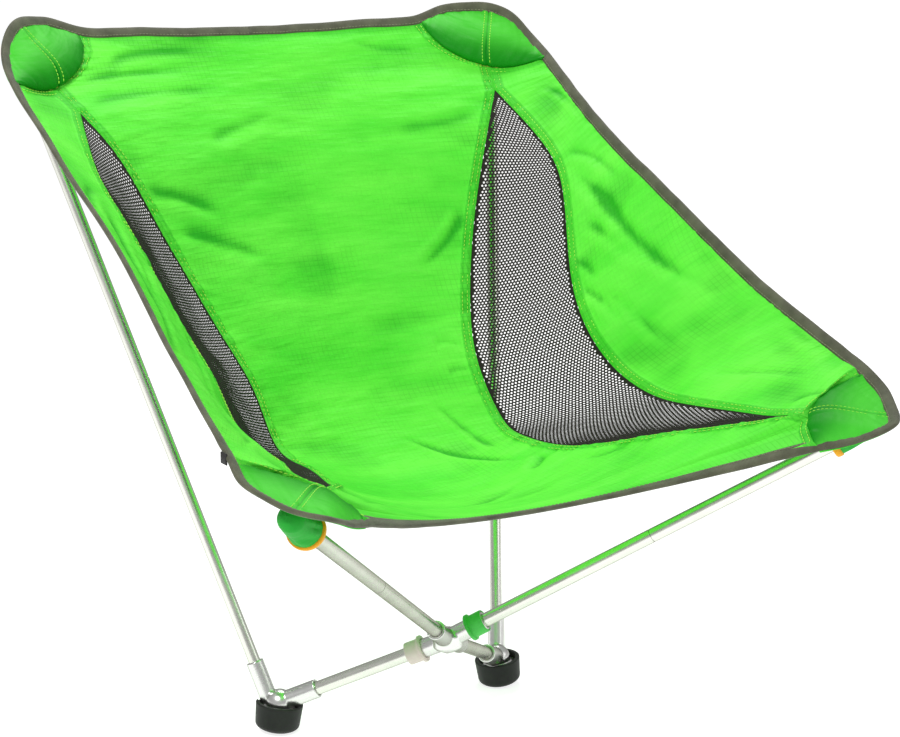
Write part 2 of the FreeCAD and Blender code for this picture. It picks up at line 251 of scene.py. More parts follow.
def sag_points(middle, corner):
    """The middle of an end edge and three points on its way to the corner."""
    return [tuple(p) for p in sag_row(middle, corner, (0, 0.25, 0.5, 0.75))]


def evenly(points, spacing):
    """The same line with its points about spacing apart."""
    run = run_lengths(points)
    places = np.linspace(0, run[-1], max(2, round(run[-1] / spacing) + 1))
    return read_along(places, run, points)


def outline_curve():
    """The tape's outer edge on the right, top to front, read by station number along the side."""
    rear = sag_points(REAR_EDGE_MIDDLE, REAR_CORNER[0]) + REAR_CORNER
    front = FRONT_CORNER[::-1] + sag_points(FRONT_EDGE_MIDDLE, FRONT_CORNER[0])[::-1]
    side = [station[3] for station in STATIONS]
    points = [(-p[0], p[1], p[2]) for p in rear[3:0:-1]] + rear + side + front
    points += [(-p[0], p[1], p[2]) for p in front[-2:-5:-1]]
    p = np.array(points, float)
    before = len(rear) + 3
    after = before + len(side)
    knots = list(range(len(side)))
    for i in range(before - 1, -1, -1):
        knots.insert(0, knots[0] - np.linalg.norm(p[i + 1] - p[i]) / 58)
    for i in range(after, len(p)):
        knots.append(knots[-1] + np.linalg.norm(p[i] - p[i - 1]) / 30)
    rear_knots = knots[before - len(REAR_CORNER):before]
    front_knots = knots[after:after + len(FRONT_CORNER)]
    return spline(p, knots), knots[3], knots[-4], rear_knots, front_knots


tape_line, TAPE_START, TAPE_END, REAR_KNOTS, FRONT_KNOTS = outline_curve()


def cloth_edge(v):
    """Where the cloth ends, inside the folded tape."""
    edge = tape_line(v)
    return edge - towards_rim(edge) * TAPE_OVERLAP


def joined(v, pieces):
    """Reads v from the piece of a joined line that holds it: (last v, function) pairs in order."""
    v = np.atleast_1d(np.asarray(v, float))
    out = np.zeros((len(v), 3))
    low = -np.inf
    for high, read in pieces:
        chosen = (v > low) & (v <= high)
        if chosen.any():
            out[chosen] = read(v[chosen])
        low = high
    return out


def between(a, b, start):
    """A straight line from a to b over one unit of v."""
    a, b = np.array(a, float), np.array(b, float)
    return lambda v: lerp(a, b, (v - start)[:, None])


def centre_edge(v):
    """The right-hand edge of the centre panel: dome seam, bartack, mesh seam, bartack, dome seam."""
    return joined(v, [
        (-1, lambda v: rear_seam(v + REAR_ROWS)),
        (0, between(REAR_SEAM[SEAM_HALF], STATIONS[0][1], -1)),
        (LAST, panel_seam),
        (LAST + 1, between(STATIONS[LAST][1], FRONT_SEAM[SEAM_HALF], LAST)),
        (np.inf, lambda v: front_seam(LAST_V - v)),
    ])


def centre_surface(v, s):
    """A point of the centre panel: v down the sling, s from -1 to 1 across it."""
    return sag_row(middle_line(np.asarray(v) + REAR_ROWS), centre_edge(v), s)


def seam_to_tape(seam, knot, s):
    """The outer half of a dome seam, from the bartack (s 0) to its end inside the tape (s 1)."""
    line = seam(SEAM_HALF + s * (SEAM_END - SEAM_HALF))
    return line + (cloth_edge(knot) - seam(SEAM_END)) * smooth((s - 0.8) / 0.2)[:, None]


def wing_surface(v, s):
    """A point of the right wing: v along the mesh seam, s from 0 at the seam to 1 inside the tape.

    Past the two ends of the mesh the rows turn into the outer halves of the dome seams.
    """
    s = np.asarray(s, float)[:, None]
    v = np.asarray(v, float)
    start, end = wing_seam(v), cloth_edge(np.clip(v, 0, LAST))
    span = lengths(end - start)[:, None]
    p = lerp(start, end, s)
    p = p + outward(p) * (WING_BULGE * span * 4 * s * (1 - s))
    rear_end = seam_to_tape(rear_seam, REAR_KNOTS[-1], s[:, 0])
    front_end = seam_to_tape(front_seam, FRONT_KNOTS[0], s[:, 0])
    rear = lerp(p, rear_end, np.clip(-v, 0, 1)[:, None])
    front = lerp(p, front_end, np.clip(v - LAST, 0, 1)[:, None])
    return np.where((v < 0)[:, None], rear, np.where((v > LAST)[:, None], front, p))


def mesh_surface(v, s):
    """A point of the right mesh panel: v down it, s from 0 at the centre panel to 1 at the wing."""
    s = np.asarray(s, float)[:, None]
    start, end = panel_seam(v), wing_seam(v)
    span = lengths(end - start)[:, None]
    p = lerp(start, end, s)
    return p + outward(p) * (MESH_BULGE * span * 4 * s * (1 - s))


def dome_base(corner, i, t):
    """A point under a corner patch: i along its seam by knot, t from 0 there to 1 inside the tape."""
    seam, knots = (rear_seam, REAR_KNOTS) if corner == "rear" else (front_seam, FRONT_KNOTS[::-1])
    high = cloth_edge(np.interp(i, range(SEAM_END + 1), knots))
    return lerp(seam(i), high, np.asarray(t, float)[:, None])


def dome_surface(corner, i, t):
    """A point of a corner patch, puffed out over its base."""
    flat = dome_base(corner, i, t)
    t = np.asarray(t, float)[:, None]
    rise = np.sqrt(np.clip(1 - (1 - np.clip(t / 0.4, 0, 1)) ** 2, 0, 1))
    fall = 1 - smooth((t - 0.35) / 0.65)
    ease = np.sin(math.pi * np.asarray(i) / SEAM_END)[:, None] ** 0.7
    return flat - outward(flat) * (DOME_BULGE * rise * fall * ease)


# ---- creases

def noise_at(points):
    """Smooth noise from -1 to 1 at each point of an array."""
    values = [noise.noise(Vector(row)) for row in points.reshape(-1, 3)]
    return np.array(values).reshape(points.shape[:-1])


def wander(p, scale, seed):
    """Noise with waves about scale long."""
    return noise_at(np.asarray(p, float) / scale + seed * 17.3)


def puckers(along, edge_distance, depth, seed):
    """Short gathers that run in from a seam and die out."""
    wave = noise_at(np.stack([along / 11, along * 0 + seed, edge_distance / 60], -1) * 1.9)
    return depth * wave * np.exp(-edge_distance / 14) * smooth(edge_distance / 3)


def seam_band(edge_distance):
    """The turned-in allowance beside a seam stands a little proud of the cloth."""
    return -0.7 * smooth(edge_distance / 1.2) * (1 - smooth((edge_distance - 9.2) / 1.6))


# ---- mesh builders

def add_object(data):
    """Puts a mesh, a light or a camera in the scene under its own name."""
    obj = bpy.data.objects.new(data.name, data)
    bpy.context.scene.collection.objects.link(obj)
    return obj


def make_mesh(name, points, faces, flat=None, layers=None):
    """A smooth-shaded mesh from points in millimetres.

    flat gives each point's place in the uncut cloth; the last array gives doubled cloth plus painted
    shade and highlight.
    """
    mesh = bpy.data.meshes.new(name)
    mesh.from_pydata((np.asarray(points) * 0.001).tolist(), [], faces)
    mesh.shade_smooth()
    if flat is not None:
        loops = np.zeros(len(mesh.loops), np.int32)
        mesh.loops.foreach_get("vertex_index", loops)
        layer = mesh.uv_layers.new(name="flat")
        layer.data.foreach_set("uv", (np.asarray(flat)[loops] * 0.001).astype(np.float32).ravel())
    if layers is not None:
        doubled = mesh.attributes.new("layers", "FLOAT", "POINT")
        doubled.data.foreach_set("value", np.asarray(layers, np.float32).ravel())
    return mesh


def grid_faces(rows, cols, closed=False, flip=False):
    """Quads over a grid of points; closed joins the last column to the first."""
    faces = []
    for j in range(rows - 1):
        for i in range(cols if closed else cols - 1):
            n = (i + 1) % cols
            quad = (j * cols + i, j * cols + n, (j + 1) * cols + n, (j + 1) * cols + i)
            faces.append(quad[::-1] if flip else quad)
    return faces


def thicken(obj, thickness, offset=0.0):
    """Gives a surface its thickness in millimetres."""
    solid = obj.modifiers.new("thickness", "SOLIDIFY")
    solid.thickness = thickness * 0.001
    solid.offset = offset
    return obj


def dress(obj, slot_name, look, *nodes, body="sling"):
    """Gives a piece its material and its body, and hides the CAD nodes it stands for; the slot name is
    not used.
    """
    obj.data.materials.clear()
    obj.data.materials.append(LOOKS[look])
    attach(obj, body)
    if nodes:
        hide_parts(*nodes)
    return obj


def grid_size(grid):
    """Longest row, longest column and area of a grid of points, in metres."""
    across = lengths(np.diff(grid, axis=1)).sum(1).max()
    down = lengths(np.diff(grid, axis=0)).sum(0).max()
    a = grid[1:, 1:] - grid[:-1, :-1]
    b = grid[1:, :-1] - grid[:-1, 1:]
    area = lengths(np.cross(a, b)).sum() / 2
    return across * 0.001, down * 0.001, area * 1e-6


def rows_for(lines, knots, spacing):
    """Values of v whose points on every line are at most about spacing apart."""
    values = []
    for low, high in zip(knots, knots[1:]):
        v = np.linspace(low, high, 9)
        length = max(run_lengths(line(v))[-1] for line in lines)
        steps = max(2, math.ceil(length / spacing))
        values.extend(np.linspace(low, high, steps, endpoint=False))
    return np.array(values + [knots[-1]])


def sheet_piece(name, grid, flat, height, layers, look, node, flip):
    """A sewn panel: its grid is pushed out by height and made solid."""
    rows, cols, _ = grid.shape
    points = grid.reshape(-1, 3)
    pushed = points + outward(points) * (height.reshape(-1, 1) + CLOTH / 2)
    faces = grid_faces(rows, cols, flip=flip)
    obj = add_object(make_mesh(name, pushed, faces, flat.reshape(-1, 2), layers))
    thicken(obj, CLOTH)
    dress(obj, look + "_cloth", look, node)
    across, down, area = grid_size(pushed.reshape(grid.shape))
    min(area, across * down)
    return obj


def mirror(points, side):
    """Points made for the right-hand side, moved to the left if side is -1."""
    return points * np.array([side, 1, 1])


# ---- materials

class Look:
    """A node material with one Principled shader, and short ways to add nodes to it."""

    def __init__(self, name, **sockets):
        self.material = bpy.data.materials.new(name)
        self.material.use_nodes = True
        self.tree = self.material.node_tree
        self.shader = self.tree.nodes["Principled BSDF"]
        for key, value in sockets.items():
            self.shader.inputs[key.replace("_", " ")].default_value = value

    def put(self, socket, value):
        """Links another node's output to a socket, or sets the socket's own value."""
        if isinstance(value, bpy.types.NodeSocket):
            self.tree.links.new(value, socket)
        else:
            socket.default_value = value

    def add(self, kind, settings=None, **inputs):
        """A new node; inputs are named by socket, or i0, i1 and so on by its number."""
        node = self.tree.nodes.new("ShaderNode" + kind)
        for key, value in (settings or {}).items():
            setattr(node, key, value)
        for key, value in inputs.items():
            numbered = key[0] == "i" and key[1:].isdigit()
            self.put(node.inputs[int(key[1:]) if numbered else key.replace("_", " ")], value)
        return node

    def sums(self, operation, *values):
        """The result of a Math operation on numbers or sockets."""
        node = self.add("Math", {"operation": operation})
        for socket, value in zip(node.inputs, values):
            self.put(socket, value)
        return node.outputs[0]

    def noise(self, vector, scale, detail=2.0, rough=0.5, kind="FBM", distortion=0.0):
        """Noise from 0 to 1."""
        node = self.add("TexNoise", {"noise_type": kind}, Vector=vector, Scale=scale, Detail=detail,
                        Roughness=rough, Distortion=distortion)
        return node.outputs["Fac"]

    def line(self, value, factor, constant):
        """The value times a factor, plus a constant."""
        return self.sums("MULTIPLY_ADD", value, factor, constant)

    def ramp(self, factor, *stops):
        """Colours along a factor, as (place, colour) pairs."""
        node = self.add("ValToRGB", None, Fac=factor)
        elements = node.color_ramp.elements
        while len(elements) < len(stops):
            elements.new(0.5)
        for element, (place, colour) in zip(elements, stops):
            element.position = place
            element.color = (*colour, 1)
        return node.outputs["Color"]

    def ramp_value(self, value, low, high, first, second):
        """Maps a value from low..high to first..second, without going past them."""
        node = self.add("MapRange", {"clamp": True}, i0=value, i1=low, i2=high, i3=first, i4=second)
        return node.outputs[0]

    def mix(self, factor, first, second):
        """Goes from the first colour to the second as the factor goes from 0 to 1."""
        node = self.add("Mix", {"data_type": "RGBA"}, i0=factor)
        for socket, colour in ((node.inputs[6], first), (node.inputs[7], second)):
            self.put(socket, colour if isinstance(colour, bpy.types.NodeSocket) else (*colour, 1))
        return node.outputs[2]

    def bump(self, height, distance, strength=1.0, before=None):
        """A normal bent by a height, on top of the normal before it if there is one."""
        node = self.add("Bump", None, Height=height, Distance=distance, Strength=strength)
        if before is not None:
            self.tree.links.new(before, node.inputs["Normal"])
        return node.outputs[0]

    def wire(self, **outputs):
        """Links the shader's sockets and hands over the finished material."""
        for key, value in outputs.items():
            self.tree.links.new(value, self.shader.inputs[key.replace("_", " ")])
        return self.material

    def flat(self):
        """Metres in the flat cloth, along the weft and the warp."""
        return self.add("UVMap", {"uv_map": "flat"}).outputs[0]

    def place(self):
        """Metres in the object's own frame."""
        return self.add("TexCoord").outputs["Object"]


def grid_lines(look, vector, pitch, width):
    """1 on the lines of a square grid."""
    parts = look.add("SeparateXYZ", None, Vector=vector)
    lines = []
    for axis in ("X", "Y"):
        cell = look.sums("FRACT", look.sums("MULTIPLY", parts.outputs[axis], 1 / pitch))
        off = look.sums("ABSOLUTE", look.sums("SUBTRACT", cell, 0.5))
        lines.append(look.sums("MULTIPLY", look.sums("SUBTRACT", off, 0.5 - width), 1 / width))
    return look.add("Clamp", None, Value=look.sums("MAXIMUM", *lines)).outputs[0]


def cloth_look(name, light, deep, ripstop, crinkle, shine):
    """Thin coated nylon: crinkled, a little glossy, with ripstop squares if asked for; painted shade
    and highlight.
    """
    look = Look(name, Sheen_Weight=0.03, Sheen_Roughness=0.4, Sheen_Tint=(0.6, 1, 0.5, 1),
                IOR=1.45, Specular_IOR_Level=0.12)
    flat = look.flat()
    streaky = look.add("Mapping", None, Vector=flat, Scale=(0.3, 1, 1)).outputs[0]
    patches = look.noise(streaky, 16.0, 4.0, 0.6)
    colour = look.ramp(patches, (0.34, deep), (0.66, light))
    fine = look.noise(flat, 900.0)
    colour = look.mix(look.sums("MULTIPLY", fine, 0.15), colour, deep)
    height = look.noise(streaky, 90.0, 4.0, 0.6, "RIDGED_MULTIFRACTAL", 0.5)
    soft = look.noise(streaky, 38.0, 3.0, 0.55)
    normal = look.bump(soft, 0.007 * crinkle, 0.7)
    normal = look.bump(height, 0.0014 * crinkle, 0.6, normal)
    rough = look.line(fine, 0.12, 0.5 - shine)
    # the mesh attribute holds doubled seam cloth and painted shade above zero, painted highlight below
    # zero
    layers = look.add("Attribute", {"attribute_name": "layers"}).outputs["Fac"]
    if ripstop:
        lines = grid_lines(look, flat, 0.005, 0.1)
        seen = look.ramp_value(look.noise(flat, 11.0), 0.50, 0.72, 0.04, 0.3)
        # ripstop lines show more in the doubled bands and in the painted shade
        seen = look.sums("ADD", seen, look.ramp_value(layers, 0.05, 0.6, 0.0, 0.35))
        shown = look.sums("MULTIPLY", lines, seen)
        colour = look.mix(shown, colour, [c * 0.5 for c in deep])
        normal = look.bump(lines, 0.00025, 0.6, normal)
    # painted highlight: ridges turn pale yellow-green
    colour = look.mix(look.ramp_value(layers, -1.0, 0.0, 0.5, 0.0), colour, (0.22, 0.97, 0.10))
    # painted shade: folds, dome crescents and the band under the tape turn deep green, as the doubled
    # seam bands do
    dark = look.ramp_value(layers, 0.0, 1.6, 0.0, 0.96)
    colour = look.mix(dark, colour, (0.0, deep[1] * 0.42, deep[2] * 0.2))
    weave = grid_lines(look, flat, 0.0006, 0.25)
    normal = look.bump(weave, 0.00004, 0.35, normal)
    return look.wire(Base_Color=colour, Normal=normal, Roughness=rough)


def net_look():
    """Dark knitted thread."""
    look = Look("mesh_fabric", Roughness=0.8, Specular_IOR_Level=0.2)
    grain = look.noise(look.place(), 1400.0)
    colour = look.ramp(grain, (0.3, (0.008, 0.007, 0.006)), (0.75, (0.034, 0.030, 0.024)))
    return look.wire(Base_Color=colour, Normal=look.bump(grain, 0.0002, 0.6))


def tape_look():
    """Ribbed woven tape."""
    look = Look("grosgrain_tape", Sheen_Weight=0.1, Sheen_Roughness=0.5, Specular_IOR_Level=0.3)
    flat = look.flat()
    parts = look.add("SeparateXYZ", None, Vector=flat)
    ribs = look.sums("SINE", look.sums("MULTIPLY", parts.outputs["Y"], 2 * math.pi / 0.0011))
    worn = look.noise(flat, 60.0, 3.0)
    colour = look.ramp(worn, (0.3, (0.066, 0.070, 0.040)), (0.7, (0.135, 0.142, 0.088)))
    colour = look.mix(look.line(ribs, 0.12, 0.12), colour, (0.03, 0.03, 0.02))
    rough = look.line(worn, 0.2, 0.55)
    return look.wire(Base_Color=colour, Roughness=rough, Normal=look.bump(ribs, 0.00015, 0.6))


def thread_look(name, light, deep):
    """Twisted thread, webbing or braid in two shades."""
    look = Look(name, Roughness=0.6, Sheen_Weight=0.05, Specular_IOR_Level=0.3)
    twist = look.noise(look.place(), 2200.0, 1.0)
    colour = look.ramp(twist, (0.3, deep), (0.7, light))
    return look.wire(Base_Color=colour, Normal=look.bump(twist, 0.0001, 0.5))


def metal_look(name, colour, roughness, grain_scale, dents):
    """Polished aluminium with fine drawing marks, small stains and handling wear."""
    look = Look(name, Metallic=1.0, Anisotropic=0.25, Specular_Tint=(0.3, 0.3, 0.26, 1))
    place = look.place()
    fine = look.noise(place, grain_scale)
    wear = look.noise(place, 45.0, 4.0, 0.6)
    tint = look.ramp(wear, (0.25, [c * 0.9 for c in colour]), (0.7, colour))
    rough = look.line(wear, 0.16, roughness - 0.08)
    rough = look.line(fine, 0.06, rough)
    normal = look.bump(fine, 0.00003, 0.4)
    normal = look.bump(wear, dents, 0.3, normal)
    return look.wire(Base_Color=tint, Roughness=rough, Normal=normal)


def moulded_look(name, light, deep, roughness):
    """Moulded rubber or plastic with a fine texture and scuffs."""
    look = Look(name, Specular_IOR_Level=0.25)
    place = look.place()
    grain = look.noise(place, 900.0)
    scuff = look.noise(place, 70.0, 4.0, 0.65)
    colour = look.ramp(scuff, (0.35, deep), (0.75, light))
    rough = look.line(scuff, 0.25, roughness - 0.1)
    normal = look.bump(grain, 0.00012, 0.4)
    return look.wire(Base_Color=colour, Roughness=rough, Normal=normal)


LOOKS = {
    "ripstop": cloth_look("ripstop_nylon", (0.165, 0.90, 0.066), (0.085, 0.75, 0.038), True, 1.0, 0.02),
    "patch": cloth_look("plain_nylon", (0.085, 0.66, 0.045), (0.045, 0.50, 0.025), False, 0.5, 0.04),
    # painted shade: the pockets are a darker green than the patches because they sit in shade
    "pocket": cloth_look("pocket_nylon", (0.035, 0.45, 0.05), (0.015, 0.33, 0.03), False, 0.8, 0.02),
    "net": net_look(),
    "tape": tape_look(),
    "stitch": thread_look("green_thread", (0.48, 0.93, 0.10), (0.30, 0.75, 0.05)),
    "bartack": thread_look("olive_bar_thread", (0.42, 0.48, 0.05), (0.22, 0.30, 0.03)),
    "tape_stitch": thread_look("olive_thread", (0.30, 0.29, 0.19), (0.14, 0.135, 0.085)),
    "rim": thread_look("amber_binding", (0.90, 0.44, 0.004), (0.72, 0.31, 0.002)),
    "tab": thread_look("black_webbing", (0.03, 0.03, 0.028), (0.008, 0.008, 0.008)),
    "pole": metal_look("polished_tube", (0.82, 0.825, 0.76), 0.24, 700.0, 0.0001),
    "cast": metal_look("polished_casting", (0.84, 0.84, 0.82), 0.26, 500.0, 0.0004),
    # painted reflection: the front collar is green to stand for the green sling mirrored in it
    "collar_painted_reflection": moulded_look("green_collar_plastic", (0.09, 0.60, 0.10), (0.05, 0.46, 0.06), 0.45),
    "leg_collar": moulded_look("beige_collar_plastic", (0.76, 0.69, 0.62), (0.66, 0.58, 0.52), 0.5),
    "rubber": moulded_look("boot_rubber", (0.018, 0.021, 0.017), (0.008, 0.010, 0.008), 0.5),
    "plastic": moulded_look("tip_plastic", (0.03, 0.03, 0.03), (0.012, 0.012, 0.012), 0.4),
    "cord": thread_look("braided_cord", (0.06, 0.06, 0.06), (0.01, 0.01, 0.01)),
}


# ---- sling panels

def crease(flat, start, end, width, depth):
    """A fold along a line in the flat cloth, with a soft ridge beside it."""
    start, end = np.array(start, float), np.array(end, float)
    run = end - start
    from_start = flat - start
    t = from_start @ run / (run @ run)
    off = from_start @ np.array([-run[1], run[0]]) / np.linalg.norm(run) + 3 * np.sin(t * 5)
    groove = np.exp(-(np.abs(off) / width) ** 1.6) - 0.55 * np.exp(-((off - 2.1 * width) / width) ** 2)
    return depth * groove * smooth(t / 0.2) * smooth((1 - t) / 0.4)


def shaded(relief):
    """How much light is lost in the valleys of the cloth; below zero, how much its ridges gain."""
    valleys = 0.85 * (relief / 2.4).clip(0, 1.3) ** 1.4
    ridges = -0.6 * (-relief / 3).clip(0, 1)
    return np.where(relief > 0, valleys, ridges)


def fold_heights(flat, values, down, width, places):
    """The heights of folds whose ends are given as places on a panel."""
    height = np.zeros(flat.shape[:-1])
    for start, end, across, depth in places:
        ends = [(share * np.interp(knot, values, width), np.interp(knot, values, down))
                for knot, share in (start, end)]
        height += crease(flat, *ends, across, depth)
    return height


def doubled(edge_distance):
    """How far the cloth is doubled beside a seam: the turned allowance and its two stitched lines."""
    band = 1 - smooth((edge_distance - 9.4) / 0.9)
    rows = sum(np.exp(-((edge_distance - offset) / 0.9) ** 2) for offset in STITCH_ROWS)
    return 0.55 * band + 0.35 * rows


def banded_row(points, spread):
    """A row resampled close together in the seam band at its start and evenly after it."""
    run = run_lengths(points)
    places = np.concatenate([BAND_COLUMNS, np.linspace(BAND_COLUMNS[-1], run[-1], spread + 1)[1:]])
    return read_along(places, run, points)


def lapped_row(middle, corner, v, s):
    """The row where the centre panel ends inside the tape."""
    last_row = centre_surface(np.full(len(s), float(v)), s)
    return lerp(sag_row(middle, corner, s), last_row, 0.35)


def centre_grid():
    """Rows of the centre panel, each point's distance from the nearer side seam, the rows' knots."""
    knots = list(range(FIRST_V, LAST_V + 1))
    values = rows_for([centre_edge, lambda v: middle_line(v + REAR_ROWS)], knots, 3.2)
    s = np.linspace(1, 0, 160)
    rows = [lapped_row(REAR_EDGE_MIDDLE, REAR_CORNER[0], FIRST_V, s)]
    rows += [centre_surface(np.full(len(s), v), s) for v in values]
    rows += [lapped_row(FRONT_EDGE_MIDDLE, FRONT_CORNER[0], LAST_V, s)]
    half = np.stack([banded_row(row, 56) for row in rows])
    grid = np.concatenate([mirror(half, -1), half[:, -2::-1]], 1)
    edge = across_runs(half)
    edge = np.concatenate([edge, edge[:, -2::-1]], 1)
    return grid, edge, [FIRST_V - 0.5, *values, LAST_V + 0.5]


def centre_panel():
    """The wide ripstop panel from the top of the back to the front of the seat."""
    grid, edge, values = centre_grid()
    middle = grid.shape[1] // 2
    across = across_runs(grid)
    across -= across[:, middle][:, None]
    down = down_runs(grid, middle)
    flat = np.stack([across, down], -1)
    side_run = down_runs(grid, -1) * np.sign(across + 0.001)
    places = fold_heights(flat, values, down[:, middle], across[:, -1], CENTRE_FOLDS)
    ends = np.minimum(down, down[-1] - down)
    relief = (centre_creases(grid, across, down) + places) * smooth((edge - 4) / 10)
    relief += puckers(side_run, edge, 3.4, 3)
    height = (seam_band(edge) * smooth(edge / 2) + relief) * smooth((ends - 8) / 10)
    # painted shade in the folds and in a band under the tape at both ends, painted highlight on ridges;
    # the seam bands are doubled cloth
    layers = doubled(edge) + 0.4 * (1 - smooth((ends - 9) / 8)) + shaded(relief + 0.35 * places)
    sheet_piece("sling_centre_panel_cloth", grid, flat, height, layers, "ripstop",
                "sling_centre_panel", False)


def centre_creases(grid, across, down):
    """Small rumples that run mostly across the panel."""
    stretched = np.stack([across * 0.22, down, across * 0], -1)
    height = wander(stretched, 24, 1) * 1.3 + wander(stretched, 9, 5) * 0.45
    return height + wander(grid, 60, 2) * 2.0 + wander(grid, 16, 4) * 0.5


def wing_grid():
    """Rows of the right wing panel, and the rows' knots."""
    lines = [lambda v: wing_surface(v, v * 0), lambda v: wing_surface(v, v * 0 + 1)]
    values = rows_for(lines, list(range(-1, LAST + 2)), 2.8)
    s = np.linspace(0, 1, 90)
    return np.stack([banded_row(wing_surface(np.full(len(s), v), s), 26) for v in values]), values


def wing_creases(grid, x, y, side):
    """Rumples that run slantwise over the wing."""
    bent = np.stack([x * 0.5 - y * 0.4, y * 0.5 + x * 0.4, x * 0 + side], -1)
    height = wander(bent, 19, 6) * 1.2 + wander(grid, 48, 8 + side) * 3.0
    return height + wander(bent * np.array([0.5, 1, 1]), 8, 9) * 0.4


def wing_panel(name, side):
    """The ripstop panel between the mesh and the side tape, with both its ends turned in."""
    grid, values = wing_grid()
    inner = across_runs(grid)
    outer = inner[:, -1:] - inner
    down = down_runs(grid, grid.shape[1] // 2)
    flat = np.stack([inner, down], -1)
    seam = np.minimum(inner, np.minimum(down, down[-1] - down))
    places = fold_heights(flat + (side - 1) * 4, values, down[:, 0], inner[:, -1], WING_FOLDS)
    loose = wing_creases(grid, inner, down, side) + places
    loose *= smooth((inner - 4) / 10) * smooth((outer - 7) / 10)
    height = seam_band(seam) + puckers(down + 500, inner, 2.0, 7 + side)
    height += puckers(down, (outer - 8).clip(0, None), 2.6, 11 + side) + loose
    height *= smooth(np.minimum(seam, outer) / 2)
    # painted shade in the folds and painted highlight on ridges, over the doubled seam bands
    layers = doubled(seam) + shaded(loose + 0.3 * places)
    sheet_piece("wing_panel_cloth_" + name, mirror(grid, side), flat, height, layers, "ripstop",
                "wing_panel_" + name, side < 0)


def corner_dome(corner, name, side):
    """A puffed patch in a corner of the sling, with a seam down its middle."""
    i = np.linspace(0, SEAM_END, 97)
    t = np.linspace(0, 1, 41) ** 1.3
    tt, ii = np.meshgrid(t, i, indexing="ij")
    grid = dome_surface(corner, ii.ravel(), tt.ravel()).reshape(len(t), len(i), 3)
    across = across_runs(grid)
    down = across_runs(grid.swapaxes(0, 1)).T
    flat = np.stack([across - across[:, len(i) // 2][:, None], down], -1)
    from_tape = down[-1:] - down
    off_centre = np.abs(flat[..., 0])
    height = 1.0 * np.exp(-(off_centre / 1.2) ** 2)
    height -= 0.6 * smooth(off_centre / 1.5) * (1 - smooth((off_centre - 5) / 2))
    seed = 13 + side * 2 + (corner == "front")
    height += puckers(across, down, 2.6, seed)
    height += puckers(across + 300, (from_tape - 7).clip(0, None), 2.6, seed + 5)
    height += wander(grid, 24, seed) * 1.3 * smooth((off_centre - 4) / 6)
    height *= smooth(np.minimum(down, from_tape) / 3)
    # painted shade: a dark crescent along the seam; a darker line down the middle seam
    layers = 1.5 * np.exp(-(down / down[-1:] / 0.42) ** 3) + 0.8 * np.exp(-(off_centre / 0.9) ** 2)
    title = corner + "_" + name
    sheet_piece("corner_dome_" + title, mirror(grid, side), flat, height, layers, "patch",
                "corner_patch_" + title, (side > 0) == (corner == "rear"))


def net_cells(length, width):
    """Corners and faces of hexagonal cells, solid near the panel's edges and open elsewhere."""
    end = length[-1]
    hexagon = [(math.cos(a), math.sin(a)) for a in (math.radians(30 + 60 * k) for k in range(6))]
    radius = NET_PITCH / math.sqrt(3)
    places, faces, keys = [], [], {}

    def shared(x, y):
        """The number of a cell corner, which its neighbours use too."""
        key = (round(x * 50), round(y * 50))
        if key not in keys:
            keys[key] = len(places)
            places.append((x, y))
        return keys[key]

    for row in range(int(end / (radius * 1.5)) + 2):
        y = row * radius * 1.5
        room = np.interp(y, length, width) / 2
        for col in range(-int(room / NET_PITCH) - 2, int(room / NET_PITCH) + 3):
            x = (col + 0.5 * (row % 2)) * NET_PITCH
            if abs(x) > room + NET_PITCH * 0.3:
                continue
            ring = [shared(x + cx * radius, y + cy * radius) for cx, cy in hexagon]
            if abs(x) > room - NET_PITCH * 0.9 or y < NET_PITCH or y > end - NET_PITCH:
                faces.append(ring)
                continue
            hole = len(places)
            size = radius * NET_HOLE
            places.extend((x + cx * size, y + cy * size) for cx, cy in hexagon)
            for k in range(6):
                n = (k + 1) % 6
                faces.append((ring[k], ring[n], hole + n, hole + k))
    return np.array(places), faces


def net_panel(name, side):
    """The mesh panel as a real net of hexagonal holes, solid in its seam allowance."""
    v = np.linspace(0, LAST, 600)
    length = run_lengths(mesh_surface(v, v * 0 + 0.5))
    width = lengths(wing_seam(v) - panel_seam(v))
    flat, faces = net_cells(length, width)
    down = np.clip(flat[:, 1], 0, length[-1])
    room = np.maximum(np.interp(down, length, width), 0.01)
    s = np.clip(flat[:, 0] / room + 0.5, 0, 1)
    points = mesh_surface(np.interp(down, length, v), s)
    slack = wander(points, 30, 21 + side) * 1.2 * (4 * s * (1 - s))
    points = points + outward(points) * (CLOTH / 2 + slack)[:, None]
    faces = [f[::side] for f in faces]
    obj = add_object(make_mesh("net_panel_" + name, mirror(points, side), faces, flat))
    thicken(obj, NET_THREAD)
    dress(obj, "mesh_cloth", "net", "mesh_panel_" + name)


# ---- sweeps, tape and stitches

def rings_round(centre, across, up, section):
    """The section's points round each point of a line, along that point's own two axes."""
    return centre[:, None] + across[:, None] * section[:, :1] + up[:, None] * section[:, 1:]


def sweep(name, centre, across, up, section, loop):
    """A tube along a line: a loop joins its end rings, any other tube is capped."""
    section = np.array(section, float)
    count, rows = len(section), len(centre)
    points = rings_round(centre, across, up, section).reshape(-1, 3)
    faces = grid_faces(rows, count, closed=True)
    last = (rows - 1) * count
    if loop:
        faces += [(last + i, last + (i + 1) % count, (i + 1) % count, i) for i in range(count)]
    else:
        faces += [tuple(range(count))[::-1], tuple(range(last, last + count))]
    around, down = np.tile(run_lengths(section), rows), np.repeat(run_lengths(centre), count)
    return add_object(make_mesh(name, points, faces, np.stack([around, down], -1)))


